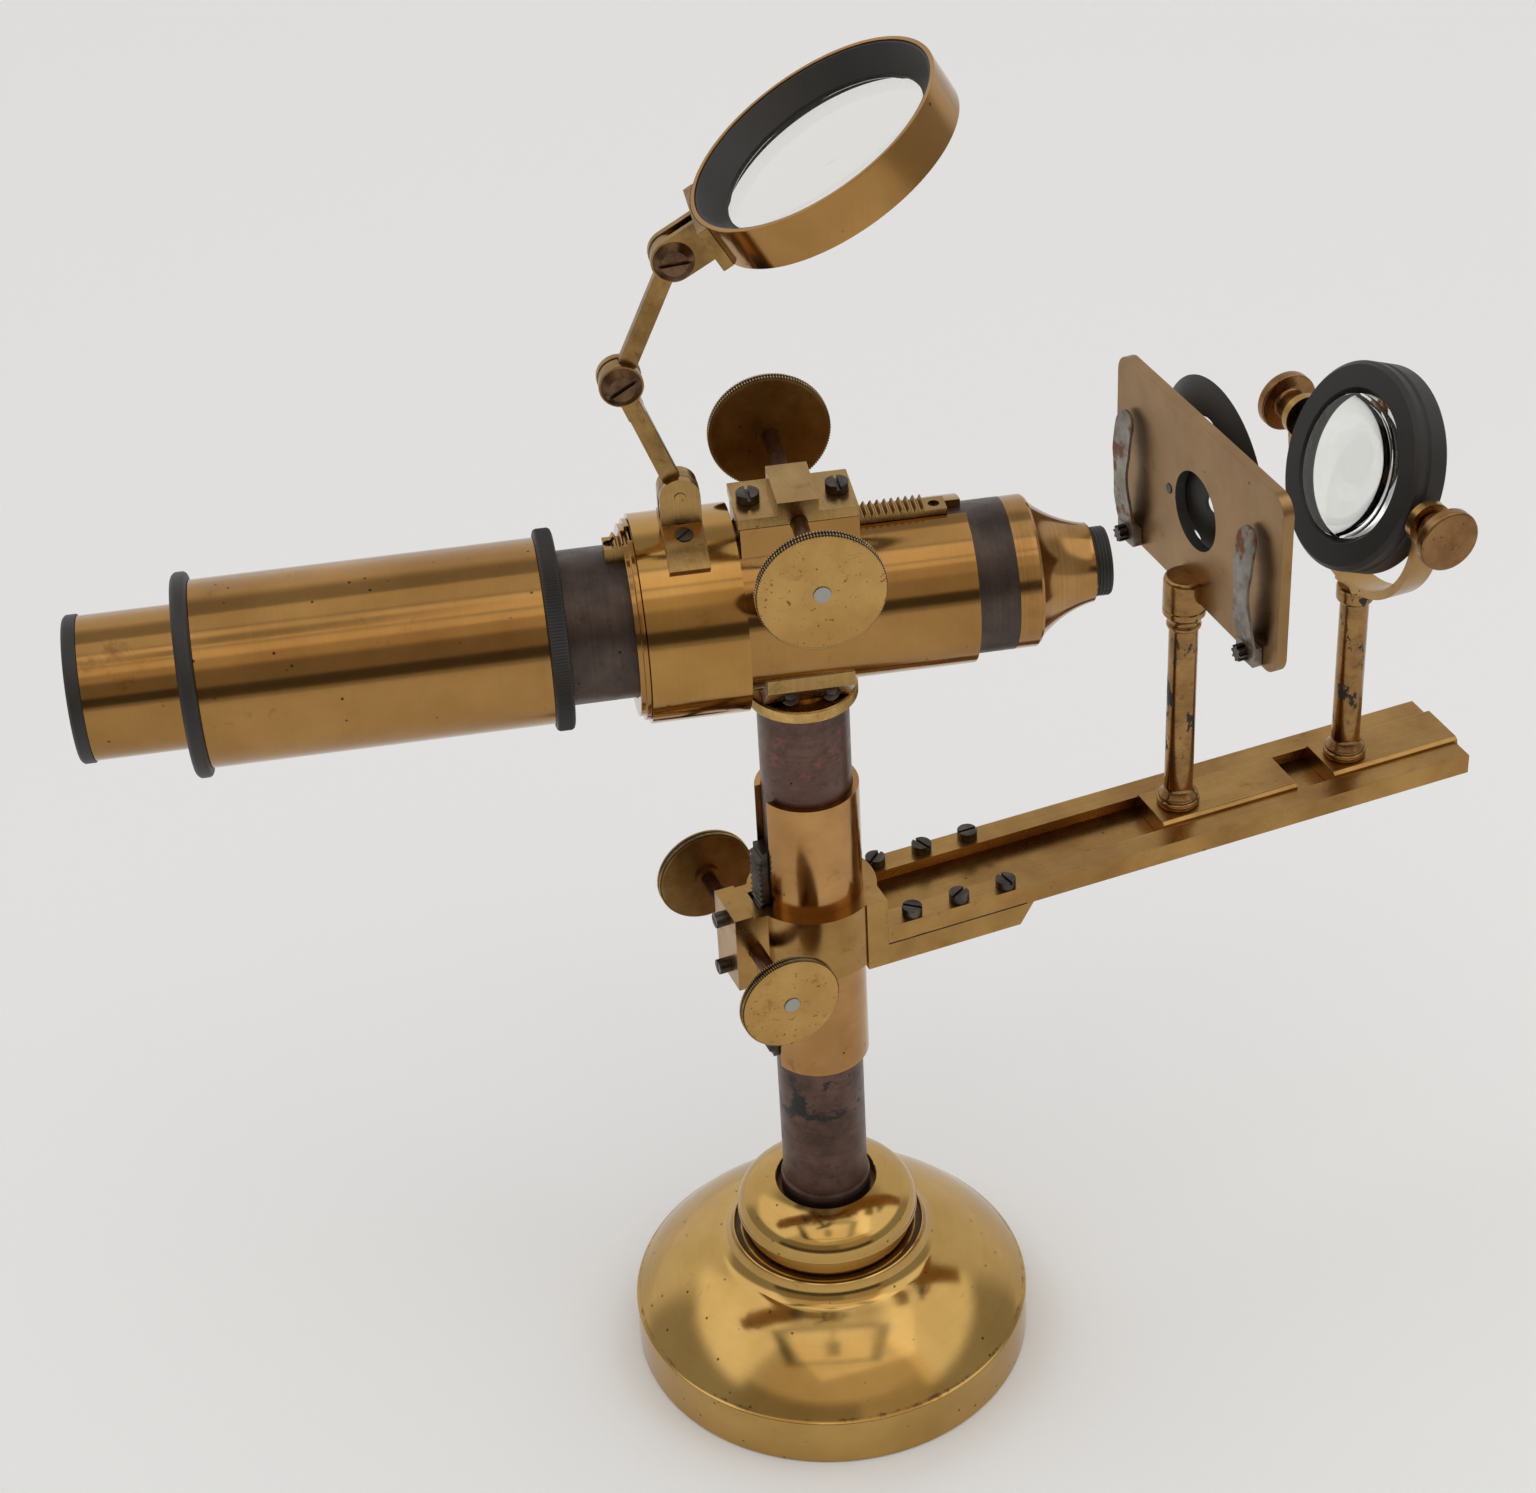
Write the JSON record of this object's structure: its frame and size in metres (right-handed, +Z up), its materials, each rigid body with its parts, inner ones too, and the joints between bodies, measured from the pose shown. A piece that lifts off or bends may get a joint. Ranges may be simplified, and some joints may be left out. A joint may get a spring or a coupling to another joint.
{
  "type": "horizontal microscope",
  "caption": "Horizontal brass microscope: turning tube head with rack focus on a round-footed pillar, swing magnifier, and a geared rail carrying stage and condenser.",
  "frame": {"origin": "centre of the round base on the surface it stands on, on the axis of the pillar", "axes": "+Z up the pillar, +X along the rail from the pillar to the condenser, +Y to the far side of the rail as the picture shows it"},
  "size_m": [0.3949, 0.1229, 0.4143],
  "materials": {
    "polished_brass": "polished lacquered brass, scratched and pitted",
    "aged_brass": "coppery aged brass with dark pits",
    "dark_bronze": "dark purple-brown patina, rubbed",
    "dark_steel": "dark turned steel with light rust",
    "black_lacquer": "worn black lacquer",
    "lens_glass": "clear ground glass"
  },
  "bodies": {
    "stand": {"base_shell": "polished_brass", "pillar_tube": "dark_bronze", "pillar_head": "polished_brass", "pillar_rack": "dark_steel"},
    "bracket": {"guide_sleeve": "aged_brass", "bracket": "polished_brass", "pinion_cap": "polished_brass", "pinion_cap_screws": "dark_steel", "rail": "polished_brass", "rail_screws": "dark_steel"},
    "low_pinion": {"low_shaft": "dark_steel", "low_knobs": "polished_brass"},
    "head": {"head_disc": "polished_brass", "saddle": "polished_brass", "saddle_screws": "dark_steel", "body_tube": "polished_brass", "body_end_ring": "aged_brass", "pinion_plate": "polished_brass", "pinion_plate_screws": "dark_steel"},
    "up_pinion": {"up_shaft": "dark_steel", "up_knobs": "polished_brass"},
    "optical_tube": {"focus_tube": "dark_bronze", "focus_rack": "polished_brass", "focus_rack_screws": "dark_steel", "draw_sleeve": "aged_brass", "sleeve_ring": "black_lacquer", "eye_flange": "black_lacquer", "nose_cone": "polished_brass", "objective_tip": "black_lacquer", "objective_lens": "lens_glass"},
    "eyepiece": {"eye_tube": "aged_brass", "eye_cap": "black_lacquer", "eye_lens": "lens_glass", "field_lens": "lens_glass"},
    "loupe_mount": {"loupe_collar": "polished_brass", "loupe_bracket": "polished_brass", "loupe_bracket_screw": "dark_steel"},
    "lower_link": {"link_lower": "polished_brass", "elbow_screw": "dark_bronze"},
    "upper_link": {"link_upper": "polished_brass"},
    "loupe": {"loupe_holder": "polished_brass", "top_screw": "dark_bronze", "loupe_ring": "polished_brass", "loupe_cell": "black_lacquer", "loupe_lens": "lens_glass"},
    "stage": {"stage_slider": "polished_brass", "stage_post": "aged_brass", "stage_plate": "polished_brass", "clip_screws": "dark_steel", "wheel_pivot": "dark_steel"},
    "diaphragm": {"diaphragm_wheel": "black_lacquer"},
    "near_clip": {"stage_clip_near": "dark_steel"},
    "far_clip": {"stage_clip_far": "dark_steel"},
    "condenser_stand": {"condenser_slider": "polished_brass", "condenser_post": "aged_brass", "condenser_fork": "polished_brass"},
    "condenser_cell": {"cell_front": "black_lacquer", "cell_back": "black_lacquer", "condenser_lens": "lens_glass", "trunnion_knobs": "aged_brass"}
  },
  "joints": [
    {"name": "bracket_slide", "type": "slide", "parent": "stand", "child": "bracket", "axis": [0, 0, 1], "range_m": [-0.038, 0.025]},
    {"name": "low_pinion_turn", "type": "hinge", "parent": "bracket", "child": "low_pinion", "pos_m": [-0.0205, 0, 0.1589], "axis": [0, 1, 0], "range_deg": [-520, 345]},
    {"name": "head_turn", "type": "hinge", "parent": "stand", "child": "head", "pos_m": [0, 0, 0.2353], "axis": [0, 0, 1], "range_deg": [-75, 75]},
    {"name": "up_pinion_turn", "type": "hinge", "parent": "head", "child": "up_pinion", "pos_m": [0, 0, 0.2945], "axis": [0.2292, 0.9734, 0], "range_deg": [-138, 138]},
    {"name": "focus_slide", "type": "slide", "parent": "head", "child": "optical_tube", "axis": [0.9734, -0.2292, 0], "range_m": [-0.01, 0.01]},
    {"name": "eyepiece_slide", "type": "slide", "parent": "optical_tube", "child": "eyepiece", "axis": [0.9734, -0.2292, 0], "range_m": [-0.018, 0.018]},
    {"name": "loupe_collar_turn", "type": "hinge", "parent": "head", "child": "loupe_mount", "pos_m": [-0.02872, 0.00676, 0.2654], "axis": [0.9734, -0.2292, 0], "range_deg": [-45, 45]},
    {"name": "loupe_lug_tilt", "type": "hinge", "parent": "loupe_mount", "child": "lower_link", "pos_m": [-0.02872, 0.00676, 0.3025], "axis": [0.2292, 0.9734, 0], "range_deg": [-45, 40]},
    {"name": "loupe_elbow", "type": "hinge", "parent": "lower_link", "child": "upper_link", "pos_m": [-0.04096, 0.00965, 0.33634], "axis": [-0.2292, -0.9734, 0], "range_deg": [-40, 70]},
    {"name": "loupe_top_tilt", "type": "hinge", "parent": "upper_link", "child": "loupe", "pos_m": [-0.02611, 0.00615, 0.36905], "axis": [0.2292, 0.9734, 0], "range_deg": [-60, 35]},
    {"name": "stage_slide", "type": "slide", "parent": "bracket", "child": "stage", "axis": [1, 0, 0], "range_m": [-0.012, 0.008]},
    {"name": "diaphragm_turn", "type": "hinge", "parent": "stage", "child": "diaphragm", "pos_m": [0.1212, 0.0138, 0.2602], "axis": [1, 0, 0], "continuous": true},
    {"name": "near_clip_swing", "type": "hinge", "parent": "stage", "child": "near_clip", "pos_m": [0.118, -0.0358, 0.2362], "axis": [1, 0, 0], "range_deg": [-20, 20]},
    {"name": "far_clip_swing", "type": "hinge", "parent": "stage", "child": "far_clip", "pos_m": [0.118, 0.0334, 0.2362], "axis": [1, 0, 0], "range_deg": [-20, 20]},
    {"name": "condenser_slide", "type": "slide", "parent": "bracket", "child": "condenser_stand", "axis": [1, 0, 0], "range_m": [-0.01, 0.006]},
    {"name": "condenser_tilt", "type": "hinge", "parent": "condenser_stand", "child": "condenser_cell", "pos_m": [0.1721, 0, 0.2598], "axis": [0, 1, 0], "range_deg": [-60, 60]}
  ],
  "couplings": [
    {"joint": "low_pinion_turn", "follows": "bracket_slide", "rad_per_m": 238.1},
    {"joint": "up_pinion_turn", "follows": "focus_slide", "rad_per_m": -238.1}
  ]
}
